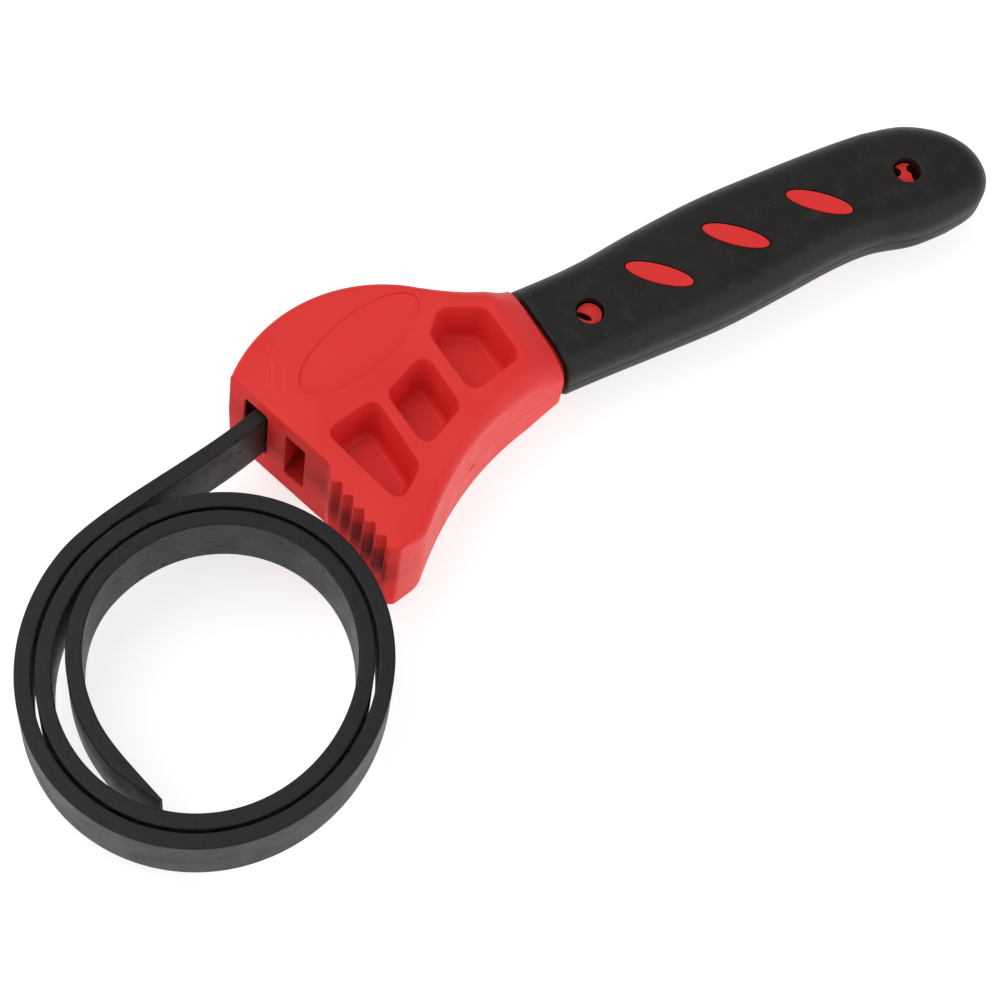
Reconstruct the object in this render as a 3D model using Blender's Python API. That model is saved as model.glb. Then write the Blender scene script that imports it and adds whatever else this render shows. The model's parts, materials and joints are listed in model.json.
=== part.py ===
"""Oil filter strap wrench: a two-shell plastic head and handle, a rubber grip and a coiled rubber strap.

Frame: metres, +Z up. The origin lies on the flat underside of the head, below the centre of its
oval panel. +X runs along the handle, away from the head. The tool lies flat, its strap coiled in
the XY plane, so every strap hinge turns about a vertical axis.
"""

from math import atan2, cos, hypot, pi, radians, sin, tan

import bmesh
import bpy
from mathutils import Vector

MM = 0.001
GAP = 0.3 * MM                      # clearance between neighbouring pieces

# Head
HEAD_THICKNESS = 40 * MM
PARTING_Z = HEAD_THICKNESS / 2
HEAD_DRAFT = radians(1.0)           # walls lean out towards the parting plane
FACE_START = Vector((-38.05, 6.45)) * MM
FACE_DIR = Vector((0.321, -0.947)).normalized()     # along the front face
FACE_IN = Vector((0.947, 0.321)).normalized()       # from the front face into the head
FACE_LENGTH = 39 * MM
TOOTH_COUNT = 6
TOOTH_FIRST_TIP = Vector((-27.6, -35.6)) * MM
TOOTH_STEP = Vector((0.86, -5.0)) * MM
TOOTH_ROOT = Vector((2.7, -1.4)) * MM
JAW_CORNER = Vector((-19.9, -62.7)) * MM
JAW_HEEL = Vector((-11.3, -61.4)) * MM
NECK_START_X = 41 * MM              # the faces start to fall towards the grip here
NECK_HALF = 13 * MM                 # half the thickness at the shoulder
NECK_POWER = 1.25                   # 1 would be a straight ramp
BACK_ROUND = 4.0 * MM               # rounding of the long concave edge,
SHOULDER_ROUND = 10.5 * MM          # growing to this at the shoulder
SHOULDER_EXTRA = 16 * MM            # modelled past the shoulder, then cut off square
SHOULDER_NEAR = Vector((51.5, -31.5)) * MM
SHOULDER_FAR = Vector((49.4, 0.7)) * MM
PANEL_HALF = (22.5 * MM, 8.75 * MM)
PANEL_TILT = radians(16.4)
GROOVE_WIDTH = 0.8 * MM
GROOVE_DEPTH = 0.5 * MM

# Openings in the front face: distances along the face, then heights
STRAP_SLOT = (6.0 * MM, 14.8 * MM, 11.5 * MM, 34.5 * MM)
STRAP_SLOT_DEPTH = 15 * MM
PASS_SLOT = (22.0 * MM, 29.6 * MM, 10.0 * MM, 33.5 * MM)
PASS_EXIT = Vector((22.0, 9.0)) * MM

# Weight-saving pockets, on both faces
POCKET_DEPTH = 13.5 * MM
POCKET_DRAFT = radians(9)
POCKET_CORNER = 3 * MM
POCKETS = (
    ((26.0, 0.2), (19.4, -6.6), (21.6, -28.2), (39.7, -24.0), (38.2, -5.8)),
    ((-0.7, -17.8), (1.4, -37.9), (16.6, -30.7), (15.2, -10.7)),
    ((-21.9, -20.7), (-13.1, -50.0), (-2.9, -42.1), (-4.4, -17.6)),
)

# Handle
GRIP_HALF = 11.3 * MM
GRIP_ROUND = 10 * MM
GRIP_WALL = 2.5 * MM
GRIP_FAR = ((40, 2.6), (71, 2.2), (94, 4.4), (118, 6.1), (141, 5.9), (164, 5.1), (178, 4.0))
GRIP_END = ((191.5, 0.6), (202.2, -7.0), (207.4, -16.5), (206.6, -26.5), (200, -32.8))
GRIP_NEAR = ((189, -34.6), (177, -34.0), (163, -30.6), (149, -30.3), (131, -31.6), (109, -32.9),
             (86, -32.3), (66, -31.5), (40, -31.0))
MOUTH_FAR = Vector((51.9, 3.2)) * MM
MOUTH_NEAR = Vector((54.0, -31.5)) * MM
GRIP_HOLES = ((68.6, -16.3), (181.6, -16.3))
GRIP_HOLE_RADIUS = 4.3 * MM
CORE_HOLE_RADIUS = 2.7 * MM
CORE_HOLE_DEPTH = 5 * MM
PADS = ((93.5, -14.6), (121.2, -13.3), (150.6, -14.3))
PAD_HALF = (10.5 * MM, 3.25 * MM)
PAD_TILT = radians(-42)
PAD_RISE = GRIP_HALF - 0.1 * MM

# Strap
STRAP_WIDTH = 21 * MM
STRAP_THICKNESS = 4.6 * MM
STRAP_MID_Z = 23 * MM
STRAP_AXIS = FACE_START + FACE_DIR * 12.1 * MM      # where its centre line crosses the face
PIN_CENTRE = STRAP_AXIS + FACE_IN * STRAP_SLOT_DEPTH
PIN_RADIUS = 2.5 * MM
EYE_RADIUS = 5.3 * MM
FIRST_HINGE = 6 * MM                # from the face to the first strap hinge
LINK_COUNT = 8                      # links of the lead and the first turn
LINK_LENGTH = 45.3 * MM
TAIL_COUNT = 3                      # links of the loose tail
TAIL_LENGTH = 20 * MM
BAND_STEP = 5.4 * MM
LINK_RELIEF = 0.9 * MM              # chamfer on the side of a link that its joint closes
COIL_CENTRE = Vector((-80.03, -66.27)) * MM
COIL_RADIUS = 52.57 * MM            # at 90 degrees
COIL_PITCH = 5.52 * MM              # inwards, each turn
COIL_OVAL = 1.71 * MM
COIL_OVAL_ANGLE = radians(33.8)
COIL_START = radians(116)
COIL_END = radians(944)
TAIL_START = radians(832)           # the loose tail starts to leave the coil here,
TAIL_PEAK = radians(902)            # is farthest from it here,
TAIL_RETURN = radians(938)          # and crosses the spiral again here
TAIL_LIFT = 4.1 * MM
TAIL_TAPER = 15 * MM                # length of the chisel-cut tip
TAIL_TIP = 0.9 * MM
LEAD_HANDLES = (21.7 * MM, 17.4 * MM)

# Screws, from the underside
SCREWS = ((-16.3, -54.6), (-25.2, 8.2), (7.0, 11.0), (45.2, -15.5))
SCREW_HEAD_RADIUS = 3.2 * MM
SCREW_HEAD_HEIGHT = 2.2 * MM
SCREW_SEAT_Z = 5.5 * MM
SCREW_SHANK_RADIUS = 1.5 * MM
SCREW_TIP_Z = 31 * MM
RECESS_RADIUS = 1.2 * MM

CURVE_STEPS = 12
ROUND_STEPS = 4


# ---------------------------------------------------------------- curves

def flat(point):
    """The plan point as a vector in metres."""
    return Vector(point) * MM


def bezier(p0, p1, p2, p3, steps):
    """Points of a cubic Bezier from p0 up to, but not including, p3."""
    points = []
    for i in range(steps):
        t = i / steps
        points.append((1 - t) ** 3 * p0 + 3 * t * (1 - t) ** 2 * p1
                      + 3 * t * t * (1 - t) * p2 + t ** 3 * p3)
    return points


def smooth_curve(controls, steps):
    """A Catmull-Rom curve through the control points."""
    points = []
    count = len(controls)
    for i in range(count - 1):
        p0 = controls[max(i - 1, 0)]
        p1 = controls[i]
        p2 = controls[i + 1]
        p3 = controls[min(i + 2, count - 1)]
        points += bezier(p1, p1 + (p2 - p0) / 6, p2 - (p3 - p1) / 6, p2, steps)
    points.append(controls[-1])
    return points


def arc_through(start, middle, end, steps):
    """Points of the circle arc from start through middle to end, without end."""
    ax, ay = start
    bx, by = middle
    cx, cy = end
    double = 2 * (ax * (by - cy) + bx * (cy - ay) + cx * (ay - by))
    ux = (start.length_squared * (by - cy) + middle.length_squared * (cy - ay)
          + end.length_squared * (ay - by)) / double
    uy = (start.length_squared * (cx - bx) + middle.length_squared * (ax - cx)
          + end.length_squared * (bx - ax)) / double
    centre = Vector((ux, uy))
    radius = (start - centre).length
    first = atan2(start.y - uy, start.x - ux)
    last = atan2(end.y - uy, end.x - ux)
    points = []
    for i in range(steps):
        angle = first + (last - first) * i / steps
        points.append(centre + Vector((cos(angle), sin(angle))) * radius)
    return points


def rounded_corners(corners, radius, steps):
    """A closed outline with each corner replaced by a quadratic curve of about that radius."""
    points = []
    count = len(corners)
    for i, corner in enumerate(corners):
        before = (corners[i - 1] - corner).normalized()
        after = (corners[(i + 1) % count] - corner).normalized()
        reach = radius / tan(before.angle(after) / 2)
        start = corner + before * reach
        end = corner + after * reach
        for j in range(steps + 1):
            t = j / steps
            points.append((1 - t) ** 2 * start + 2 * t * (1 - t) * corner + t * t * end)
    return points


def ellipse(centre, half, tilt, steps, grow=0.0):
    """A tilted ellipse, counter-clockwise, grown by a constant width."""
    along = Vector((cos(tilt), sin(tilt)))
    across = Vector((-sin(tilt), cos(tilt)))
    points = []
    for i in range(steps):
        angle = 2 * pi * i / steps
        points.append(centre + along * (half[0] + grow) * cos(angle)
                      + across * (half[1] + grow) * sin(angle))
    return points


def inward_normals(outline):
    """Mitred inward normals of a counter-clockwise outline."""
    count = len(outline)
    normals = []
    for i in range(count):
        before = (outline[i] - outline[i - 1]).normalized()
        after = (outline[(i + 1) % count] - outline[i]).normalized()
        first = Vector((-before.y, before.x))
        second = Vector((-after.y, after.x))
        mitre = (first + second) / max(1 + first.dot(second), 0.6)
        normals.append(mitre)
    return normals


# ---------------------------------------------------------------- solids

def loft(name, rings):
    """A closed solid through rings of equal length, given from the bottom to the top."""
    mesh = bmesh.new()
    loops = []
    for ring in rings:
        loops.append([mesh.verts.new(point) for point in ring])
    count = len(rings[0])
    for low, high in zip(loops, loops[1:]):
        for i in range(count):
            j = (i + 1) % count
            mesh.faces.new((low[i], low[j], high[j], high[i]))
    mesh.faces.new(list(reversed(loops[0])))
    mesh.faces.new(loops[-1])
    bmesh.ops.remove_doubles(mesh, verts=mesh.verts, dist=1e-6)
    bmesh.ops.recalc_face_normals(mesh, faces=mesh.faces)
    return mesh_object(name, mesh)


def mesh_object(name, mesh):
    data = bpy.data.meshes.new(name)
    mesh.to_mesh(data)
    mesh.free()
    thing = bpy.data.objects.new(name, data)
    bpy.context.scene.collection.objects.link(thing)
    return thing


def at_height(outline, z):
    return [Vector((p.x, p.y, z)) for p in outline]


def prism(name, outline, low, high):
    return loft(name, [at_height(outline, low), at_height(outline, high)])


def cylinder(name, centre, radius, low, high, steps=24):
    return prism(name, ellipse(centre, (radius, radius), 0.0, steps), low, high)


def rounded_slab(name, outline, rounds, half, fall, draft=0.0):
    """A slab about the parting plane whose edges are rounded by a width for each point.

    fall is the height of the rounding as a share of its width.
    """
    normals = inward_normals(outline)
    levels = []
    for i in range(ROUND_STEPS + 1):
        angle = pi / 2 * i / ROUND_STEPS
        levels.append((1 - sin(angle), 1 - cos(angle)))
    rings = []
    for side, ordered in ((-1, levels), (1, levels[::-1])):
        for inset, drop in ordered:
            ring = []
            for point, normal, width in zip(outline, normals, rounds):
                z = half - width * fall * drop
                spread = (half - z) * tan(draft)
                place = point + normal * (width * inset - spread)
                ring.append(Vector((place.x, place.y, PARTING_Z + side * z)))
            rings.append(ring)
    return loft(name, rings)


def as_cutter(thing):
    thing.hide_render = True
    thing.display_type = 'WIRE'
    return thing


def combine(thing, other, operation):
    step = thing.modifiers.new(other.name, 'BOOLEAN')
    step.operation = operation
    step.solver = 'EXACT'
    step.object = as_cutter(other)


def finish_shape(thing):
    """Replace the object's mesh with its evaluated one and drop the modifiers."""
    graph = bpy.context.evaluated_depsgraph_get()
    data = bpy.data.meshes.new_from_object(thing.evaluated_get(graph))
    thing.modifiers.clear()
    thing.data = data


def copy_of(thing, name):
    twin = bpy.data.objects.new(name, thing.data.copy())
    bpy.context.scene.collection.objects.link(twin)
    return twin


# ---------------------------------------------------------------- head and handle

def blend_rounds(start, end, count):
    return [start + (end - start) * i / max(count - 1, 1) for i in range(count)]


def head_outline():
    """The head's outline at its flat faces, counter-clockwise, and its edge rounding."""
    points = [FACE_START, FACE_START + FACE_DIR * FACE_LENGTH]
    rounds = [1.2 * MM, 0.8 * MM]
    for i in range(TOOTH_COUNT):
        tip = TOOTH_FIRST_TIP + TOOTH_STEP * i
        points.append(tip)
        rounds.append(0.7 * MM)
        if i < TOOTH_COUNT - 1:
            points.append(tip + TOOTH_ROOT)
            rounds.append(0.7 * MM)
    points.append(JAW_CORNER)
    rounds.append(0.9 * MM)

    heel = bezier(JAW_HEEL + Vector((-3.0, -0.45)) * MM, JAW_HEEL, JAW_HEEL + Vector((1.0, 0.8)) * MM,
                  JAW_HEEL + Vector((2.2, 2.0)) * MM, 4)
    points += heel
    rounds += blend_rounds(2.5 * MM, 4.5 * MM, len(heel))

    back = bezier(JAW_HEEL + Vector((2.2, 2.0)) * MM, flat((4.0, -47.2)), flat((22.0, -33.4)),
                  SHOULDER_NEAR, CURVE_STEPS + 2)
    points += back
    rounds += [BACK_ROUND + (SHOULDER_ROUND - BACK_ROUND) * (i / len(back)) ** 3 for i in range(len(back))]
    beyond = Vector((SHOULDER_EXTRA, 0))
    points += [SHOULDER_NEAR, SHOULDER_NEAR + beyond, SHOULDER_FAR + beyond]
    rounds += [SHOULDER_ROUND] * 3

    far_bend = flat((24.6, 9.2))
    side = bezier(SHOULDER_FAR, flat((44.5, -1.3)), flat((33.5, 3.6)), far_bend, 8)
    points += side
    rounds += blend_rounds(8.0 * MM, 2.8 * MM, len(side))
    arc = arc_through(far_bend, flat((-5.3, 19.6)), FACE_START, CURVE_STEPS + 4)
    points += arc
    rounds += blend_rounds(2.8 * MM, 1.8 * MM, len(arc))
    return points, rounds


def narrow_neck(thing):
    """Let both faces fall in a curve from NECK_START_X to the shoulder."""
    mesh = bmesh.new()
    mesh.from_mesh(thing.data)
    end = SHOULDER_NEAR - SHOULDER_FAR
    cut_plane(mesh, SHOULDER_NEAR.to_3d(), Vector((end.y, -end.x, 0)).normalized())
    reach = SHOULDER_NEAR.x - NECK_START_X
    for i in range(ROUND_STEPS + 1):
        plane = Vector((NECK_START_X + reach * i / (ROUND_STEPS + 1), 0, 0))
        bmesh.ops.bisect_plane(mesh, geom=mesh.verts[:] + mesh.edges[:] + mesh.faces[:],
                               plane_co=plane, plane_no=Vector((1, 0, 0)))
    for vert in mesh.verts:
        share = max(vert.co.x - NECK_START_X, 0) / reach
        scale = 1 - (1 - NECK_HALF / PARTING_Z) * share ** NECK_POWER
        vert.co.z = PARTING_Z + (vert.co.z - PARTING_Z) * scale
    mesh.to_mesh(thing.data)
    mesh.free()


def handle_outline(inset):
    """The handle's outline, counter-clockwise, moved in by a constant width."""
    near = smooth_curve([flat(p) for p in reversed(GRIP_NEAR)], 3)
    end = smooth_curve([flat(p) for p in (GRIP_NEAR[0],) + tuple(reversed(GRIP_END)) + (GRIP_FAR[-1],)], 3)
    far = smooth_curve([flat(p) for p in reversed(GRIP_FAR)], 3)
    points = near + end[1:-1] + far
    normals = inward_normals(points)
    return [point + normal * inset for point, normal in zip(points, normals)]


def handle_slab(name, inset, start_x):
    """The handle as a rounded slab, cut square at start_x."""
    outline = handle_outline(inset)
    width = GRIP_ROUND - inset
    slab = rounded_slab(name, outline, [width] * len(outline), GRIP_HALF - inset, 0.85)
    mesh = bmesh.new()
    mesh.from_mesh(slab.data)
    cut_plane(mesh, Vector((start_x, 0, 0)), Vector((1, 0, 0)))
    mesh.to_mesh(slab.data)
    mesh.free()
    return slab


def cut_plane(mesh, point, keep_side):
    """Cut a solid with a plane, keep the side the normal points to, and close it."""
    geometry = mesh.verts[:] + mesh.edges[:] + mesh.faces[:]
    result = bmesh.ops.bisect_plane(mesh, geom=geometry, plane_co=point, plane_no=keep_side,
                                    clear_inner=True)
    edges = [item for item in result['geom_cut'] if isinstance(item, bmesh.types.BMEdge)]
    bmesh.ops.contextual_create(mesh, geom=edges)
    bmesh.ops.recalc_face_normals(mesh, faces=mesh.faces)


def face_box(name, span, depth_from, depth_to):
    """A box behind the front face: a span along it and a height range, between two depths."""
    start, end, low, high = span
    outline = []
    for along, depth in ((start, depth_from), (end, depth_from), (end, depth_to), (start, depth_to)):
        outline.append(FACE_START + FACE_DIR * along + FACE_IN * depth)
    return prism(name, outline, low, high)


def strap_channel():
    """The anchor slot with its round chamber about the pin."""
    slot = face_box('anchor_slot', STRAP_SLOT, -3 * MM, STRAP_SLOT_DEPTH)
    chamber = cylinder('anchor_chamber', PIN_CENTRE, EYE_RADIUS + 2 * GAP, STRAP_SLOT[2], STRAP_SLOT[3], 28)
    combine(slot, chamber, 'UNION')
    return slot


def pass_channel():
    """The slot the strap's free end passes through, out of the far side of the head."""
    start, end, low, high = PASS_SLOT
    entry = FACE_START + FACE_DIR * (start + end) / 2
    along = (PASS_EXIT - entry).normalized()
    across = Vector((-along.y, along.x)) * (end - start) / 2
    first = entry - along * 6 * MM
    last = PASS_EXIT + along * 8 * MM
    return prism('pass_slot', [first - across, last - across, last + across, first + across], low, high)


def pocket_cutter(name, corners, face_sign):
    """A drafted pocket, from just outside one face to its floor."""
    outline = rounded_corners([flat(p) for p in corners], POCKET_CORNER, 4)
    normals = inward_normals(outline)
    rings = []
    for depth in (-1 * MM, POCKET_DEPTH):
        z = PARTING_Z + face_sign * (PARTING_Z - depth)
        ring = []
        for point, normal in zip(outline, normals):
            place = point + normal * depth * tan(POCKET_DRAFT)
            ring.append(Vector((place.x, place.y, z)))
        rings.append(ring)
    if face_sign > 0:
        rings.reverse()
    return loft(name, rings)


def panel_groove():
    """The thin oval groove round the plain panel on the top face."""
    low = HEAD_THICKNESS - GROOVE_DEPTH
    high = HEAD_THICKNESS + MM
    outer = prism('panel_groove', ellipse(Vector((0, 0)), PANEL_HALF, PANEL_TILT, 56, GROOVE_WIDTH / 2),
                  low, high)
    inner = prism('panel_land', ellipse(Vector((0, 0)), PANEL_HALF, PANEL_TILT, 56, -GROOVE_WIDTH / 2),
                  low - MM, high + MM)
    combine(outer, inner, 'DIFFERENCE')
    return outer


def direction_arrow():
    """A shallow curved arrow beside the panel: which way to turn the wrench."""
    outline = [flat(p) for p in ((-28.0, -5.4), (-25.0, -3.4), (-26.1, -2.9), (-24.0, 1.5), (-22.0, 5.9),
                                 (-20.1, 10.3), (-23.4, 11.0), (-25.0, 6.6), (-26.7, 2.2), (-28.3, -1.9),
                                 (-29.3, -1.4))]
    return prism('arrow', outline, HEAD_THICKNESS - GROOVE_DEPTH, HEAD_THICKNESS + MM)


def core_holes():
    cutters = []
    for i, centre in enumerate(GRIP_HOLES):
        half = GRIP_HALF - GRIP_WALL
        for side in (-1, 1):
            edge = PARTING_Z + side * (half + MM)
            floor = PARTING_Z + side * (half - CORE_HOLE_DEPTH)
            cutters.append(cylinder('core_hole', flat(centre), CORE_HOLE_RADIUS, min(edge, floor),
                                    max(edge, floor), 20))
    return cutters


def screw_bores():
    cutters = []
    for centre in SCREWS:
        place = flat(centre)
        bore = cylinder('screw_bore', place, SCREW_SHANK_RADIUS + GAP, -MM, SCREW_TIP_Z + GAP, 16)
        seat = cylinder('screw_seat', place, SCREW_HEAD_RADIUS + GAP, -2 * MM, SCREW_SEAT_Z + GAP, 24)
        combine(bore, seat, 'UNION')
        cutters.append(bore)
    return cutters


def pin_bore():
    return cylinder('pin_bore', PIN_CENTRE, PIN_RADIUS + GAP, STRAP_SLOT[2] - 6 * MM - GAP,
                    STRAP_SLOT[3] + 3 * MM + GAP, 24)


def plastic_body():
    """Head and handle core in one solid, before it is split into its two shells."""
    outline, rounds = head_outline()
    body = rounded_slab('body', outline, rounds, PARTING_Z, 1.0, HEAD_DRAFT)
    narrow_neck(body)
    combine(body, handle_slab('handle_core', GRIP_WALL, 44 * MM), 'UNION')
    for centre in PADS:
        pad = prism('pad', ellipse(flat(centre), PAD_HALF, PAD_TILT, 28), PARTING_Z - PAD_RISE,
                    PARTING_Z + PAD_RISE)
        combine(body, pad, 'UNION')
    cutters = [strap_channel(), pass_channel(), panel_groove(), direction_arrow(), pin_bore()]
    for corners in POCKETS:
        cutters.append(pocket_cutter('pocket_top', corners, 1))
        cutters.append(pocket_cutter('pocket_under', corners, -1))
    cutters += core_holes() + screw_bores()
    for cutter in cutters:
        combine(body, cutter, 'DIFFERENCE')
    finish_shape(body)
    return body


def half_space(name, low, high):
    reach = 0.4
    outline = [Vector((-reach, -reach)), Vector((reach, -reach)), Vector((reach, reach)),
               Vector((-reach, reach))]
    return prism(name, outline, low, high)


def grip_sleeve():
    """The rubber sleeve: the handle's skin, less the core, the pads' windows and the holes."""
    sleeve = handle_slab('grip_sleeve', 0.0, 45 * MM)
    mesh = bmesh.new()
    mesh.from_mesh(sleeve.data)
    rim = MOUTH_FAR - MOUTH_NEAR
    cut_plane(mesh, MOUTH_NEAR.to_3d(), Vector((rim.y, -rim.x, 0)).normalized())
    mesh.to_mesh(sleeve.data)
    mesh.free()
    combine(sleeve, handle_slab('grip_cavity', GRIP_WALL - GAP, 47 * MM), 'DIFFERENCE')
    for centre in PADS:
        window = prism('pad_window', ellipse(flat(centre), PAD_HALF, PAD_TILT, 28, GAP), 0, HEAD_THICKNESS)
        combine(sleeve, window, 'DIFFERENCE')
    for centre in GRIP_HOLES:
        hole = cylinder('grip_hole', flat(centre), GRIP_HOLE_RADIUS, 0, HEAD_THICKNESS, 28)
        combine(sleeve, hole, 'DIFFERENCE')
    return sleeve


# ---------------------------------------------------------------- strap

def coil_point(angle):
    """The strap's centre line on its spiral, with the loose tail drifting inwards."""
    rise = min(max((angle - TAIL_START) / (TAIL_PEAK - TAIL_START), 0), 1)
    fall = max((angle - TAIL_PEAK) / (TAIL_RETURN - TAIL_PEAK), 0)
    drift = rise * rise * (3 - 2 * rise) - fall ** 3
    radius = COIL_RADIUS - COIL_PITCH * (angle - pi / 2) / (2 * pi)
    radius += COIL_OVAL * cos(2 * (angle - COIL_OVAL_ANGLE))
    radius -= TAIL_LIFT * drift
    return COIL_CENTRE + Vector((cos(angle), sin(angle))) * radius


def strap_line():
    """Fine points of the centre line from the head's face to the tail, and their distances."""
    step = radians(0.5)
    joint = coil_point(COIL_START)
    tangent = (coil_point(COIL_START + step) - coil_point(COIL_START - step)).normalized()
    points = bezier(STRAP_AXIS, STRAP_AXIS - FACE_IN * LEAD_HANDLES[0], joint - tangent * LEAD_HANDLES[1],
                    joint, 160)
    count = int((COIL_END - COIL_START) / step)
    for i in range(count + 1):
        points.append(coil_point(COIL_START + step * i))
    distances = [0.0]
    for before, after in zip(points, points[1:]):
        distances.append(distances[-1] + (after - before).length)
    return points, distances


def strap_frame(line, distance):
    """The point on the centre line at a distance, and the direction there."""
    points, distances = line
    low = 0
    high = len(distances) - 1
    while high - low > 1:
        middle = (low + high) // 2
        if distances[middle] <= distance:
            low = middle
        else:
            high = middle
    share = (distance - distances[low]) / (distances[high] - distances[low])
    return points[low].lerp(points[high], share), (points[high] - points[low]).normalized()


def thickness_at(line, distance):
    """The strap's thickness, full except along the chisel-cut tip."""
    share = min((line[1][-1] - distance) / TAIL_TAPER, 1)
    return TAIL_TIP + (STRAP_THICKNESS - TAIL_TIP) * share


def band_outline(line, start, end, start_relief, end_relief):
    """The plan outline of a stretch of strap, with half a gap at each end.

    A relief is a pair of chamfers, on the inner and the outer side, or None where no joint is.
    """
    half = STRAP_THICKNESS / 2
    steps = round((end - start) / BAND_STEP)
    inner = []
    outer = []
    for i in range(steps + 1):
        distance = start + (end - start) * i / steps
        point, along = strap_frame(line, distance)
        left = Vector((-along.y, along.x))
        shift = [0.0, 0.0]
        if i == 0:
            shift = [GAP / 2 + relief for relief in start_relief]
            start_middle = [point + along * GAP / 2]
        if i == steps:
            shift = [-GAP / 2 - relief for relief in end_relief or (0.0, 0.0)]
            end_middle = [point - along * GAP / 2] if end_relief else []
        outer_face = half - thickness_at(line, distance)
        inner.append(point + left * half + along * shift[0])
        outer.append(point + left * outer_face + along * shift[1])
    return outer + end_middle + inner[::-1] + start_middle


def strap_piece(name, outline, origin, parent, parent_origin):
    """A strap solid whose origin lies on its joint's axis."""
    low = -STRAP_WIDTH / 2
    piece = prism(name, [point - origin for point in outline], low, -low)
    piece.parent = parent
    place = origin - parent_origin
    piece.location = (place.x, place.y, 0 if parent else STRAP_MID_Z)
    return piece


def strap_root(line):
    """The strap's fixed end: an eye on the anchor pin and a short tongue out of the slot."""
    tongue = []
    for distance in (FIRST_HINGE, FIRST_HINGE / 2, 0.0):
        point, along = strap_frame(line, distance)
        tongue.append((point, Vector((-along.y, along.x)), along))
    half = STRAP_THICKNESS / 2
    right = []
    left = []
    for i, (point, across, along) in enumerate(tongue):
        end_gap = GAP / 2 if i == 0 else 0.0
        relief = LINK_RELIEF if i == 0 else 0.0
        right.append(point - across * half - along * (end_gap + relief))
        left.append(point + across * half - along * end_gap)
    middle = tongue[0][0] - tongue[0][2] * GAP / 2
    across = tongue[-1][1]
    outline = [PIN_CENTRE - across * half] + right[::-1] + [middle] + left + [PIN_CENTRE + across * half]
    root = strap_piece('strap_root', outline, PIN_CENTRE, None, Vector((0, 0)))
    eye = cylinder('root_eye', PIN_CENTRE, EYE_RADIUS, STRAP_MID_Z - STRAP_WIDTH / 2,
                   STRAP_MID_Z + STRAP_WIDTH / 2, 28)
    bore = cylinder('root_bore', PIN_CENTRE, PIN_RADIUS + GAP, 0, HEAD_THICKNESS, 24)
    combine(root, eye, 'UNION')
    combine(root, bore, 'DIFFERENCE')
    return root


def strap_pieces(line, root):
    """The strap past its root: links, the rest of the coil, then the loose tail's links.

    Each piece is hinged to the one before it on the centre line. The links straighten, so their
    outer sides are relieved; the tail bends inwards, so its inner sides are.
    """
    total = line[1][-1]
    coil_start = FIRST_HINGE + LINK_COUNT * LINK_LENGTH
    tail_start = total - TAIL_COUNT * TAIL_LENGTH
    opening = (0.0, LINK_RELIEF)
    closing = (LINK_RELIEF, 0.0)
    stretches = []
    for i in range(LINK_COUNT):
        start = FIRST_HINGE + LINK_LENGTH * i
        stretches.append((f'strap_link_{i + 1:02d}', start, start + LINK_LENGTH, opening, opening))
    stretches.append(('strap_coil', coil_start, tail_start, opening, closing))
    for i in range(TAIL_COUNT):
        start = tail_start + TAIL_LENGTH * i
        end_relief = closing if i < TAIL_COUNT - 1 else None
        stretches.append((f'strap_tail_{i + 1}', start, start + TAIL_LENGTH, closing, end_relief))

    parent = root
    parent_origin = PIN_CENTRE
    pieces = []
    for name, start, end, start_relief, end_relief in stretches:
        outline = band_outline(line, start, end, start_relief, end_relief)
        origin = strap_frame(line, start)[0]
        parent = strap_piece(name, outline, origin, parent, parent_origin)
        parent_origin = origin
        pieces.append(parent)
    return pieces


# ---------------------------------------------------------------- metal parts

def anchor_pin():
    return cylinder('strap_anchor_pin', PIN_CENTRE, PIN_RADIUS, STRAP_SLOT[2] - 6 * MM,
                    STRAP_SLOT[3] + 3 * MM, 24)


def screw(number, centre):
    """A pan-head screw, head down in its seat, with a drive recess."""
    place = flat(centre)
    seat = SCREW_SEAT_Z
    name = f'shell_screw_{number}'
    thing = cylinder(name, place, SCREW_SHANK_RADIUS, seat - MM, SCREW_TIP_Z, 16)
    head = cylinder('screw_head', place, SCREW_HEAD_RADIUS, seat - SCREW_HEAD_HEIGHT, seat, 24)
    recess = cylinder('screw_recess', place, RECESS_RADIUS, 0, seat - SCREW_HEAD_HEIGHT + MM, 6)
    combine(thing, head, 'UNION')
    combine(thing, recess, 'DIFFERENCE')
    return thing


# ---------------------------------------------------------------- materials

def material(name, colour, roughness, metallic=0.0):
    look = bpy.data.materials.new(name)
    look.use_nodes = True
    surface = look.node_tree.nodes['Principled BSDF']
    surface.inputs['Base Color'].default_value = (*colour, 1.0)
    surface.inputs['Roughness'].default_value = roughness
    surface.inputs['Metallic'].default_value = metallic
    return look


def dress(thing, look):
    thing.data.materials.clear()
    thing.data.materials.append(look)
    thing.data.shade_smooth()
    thing.data.set_sharp_from_angle(angle=radians(30))


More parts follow.
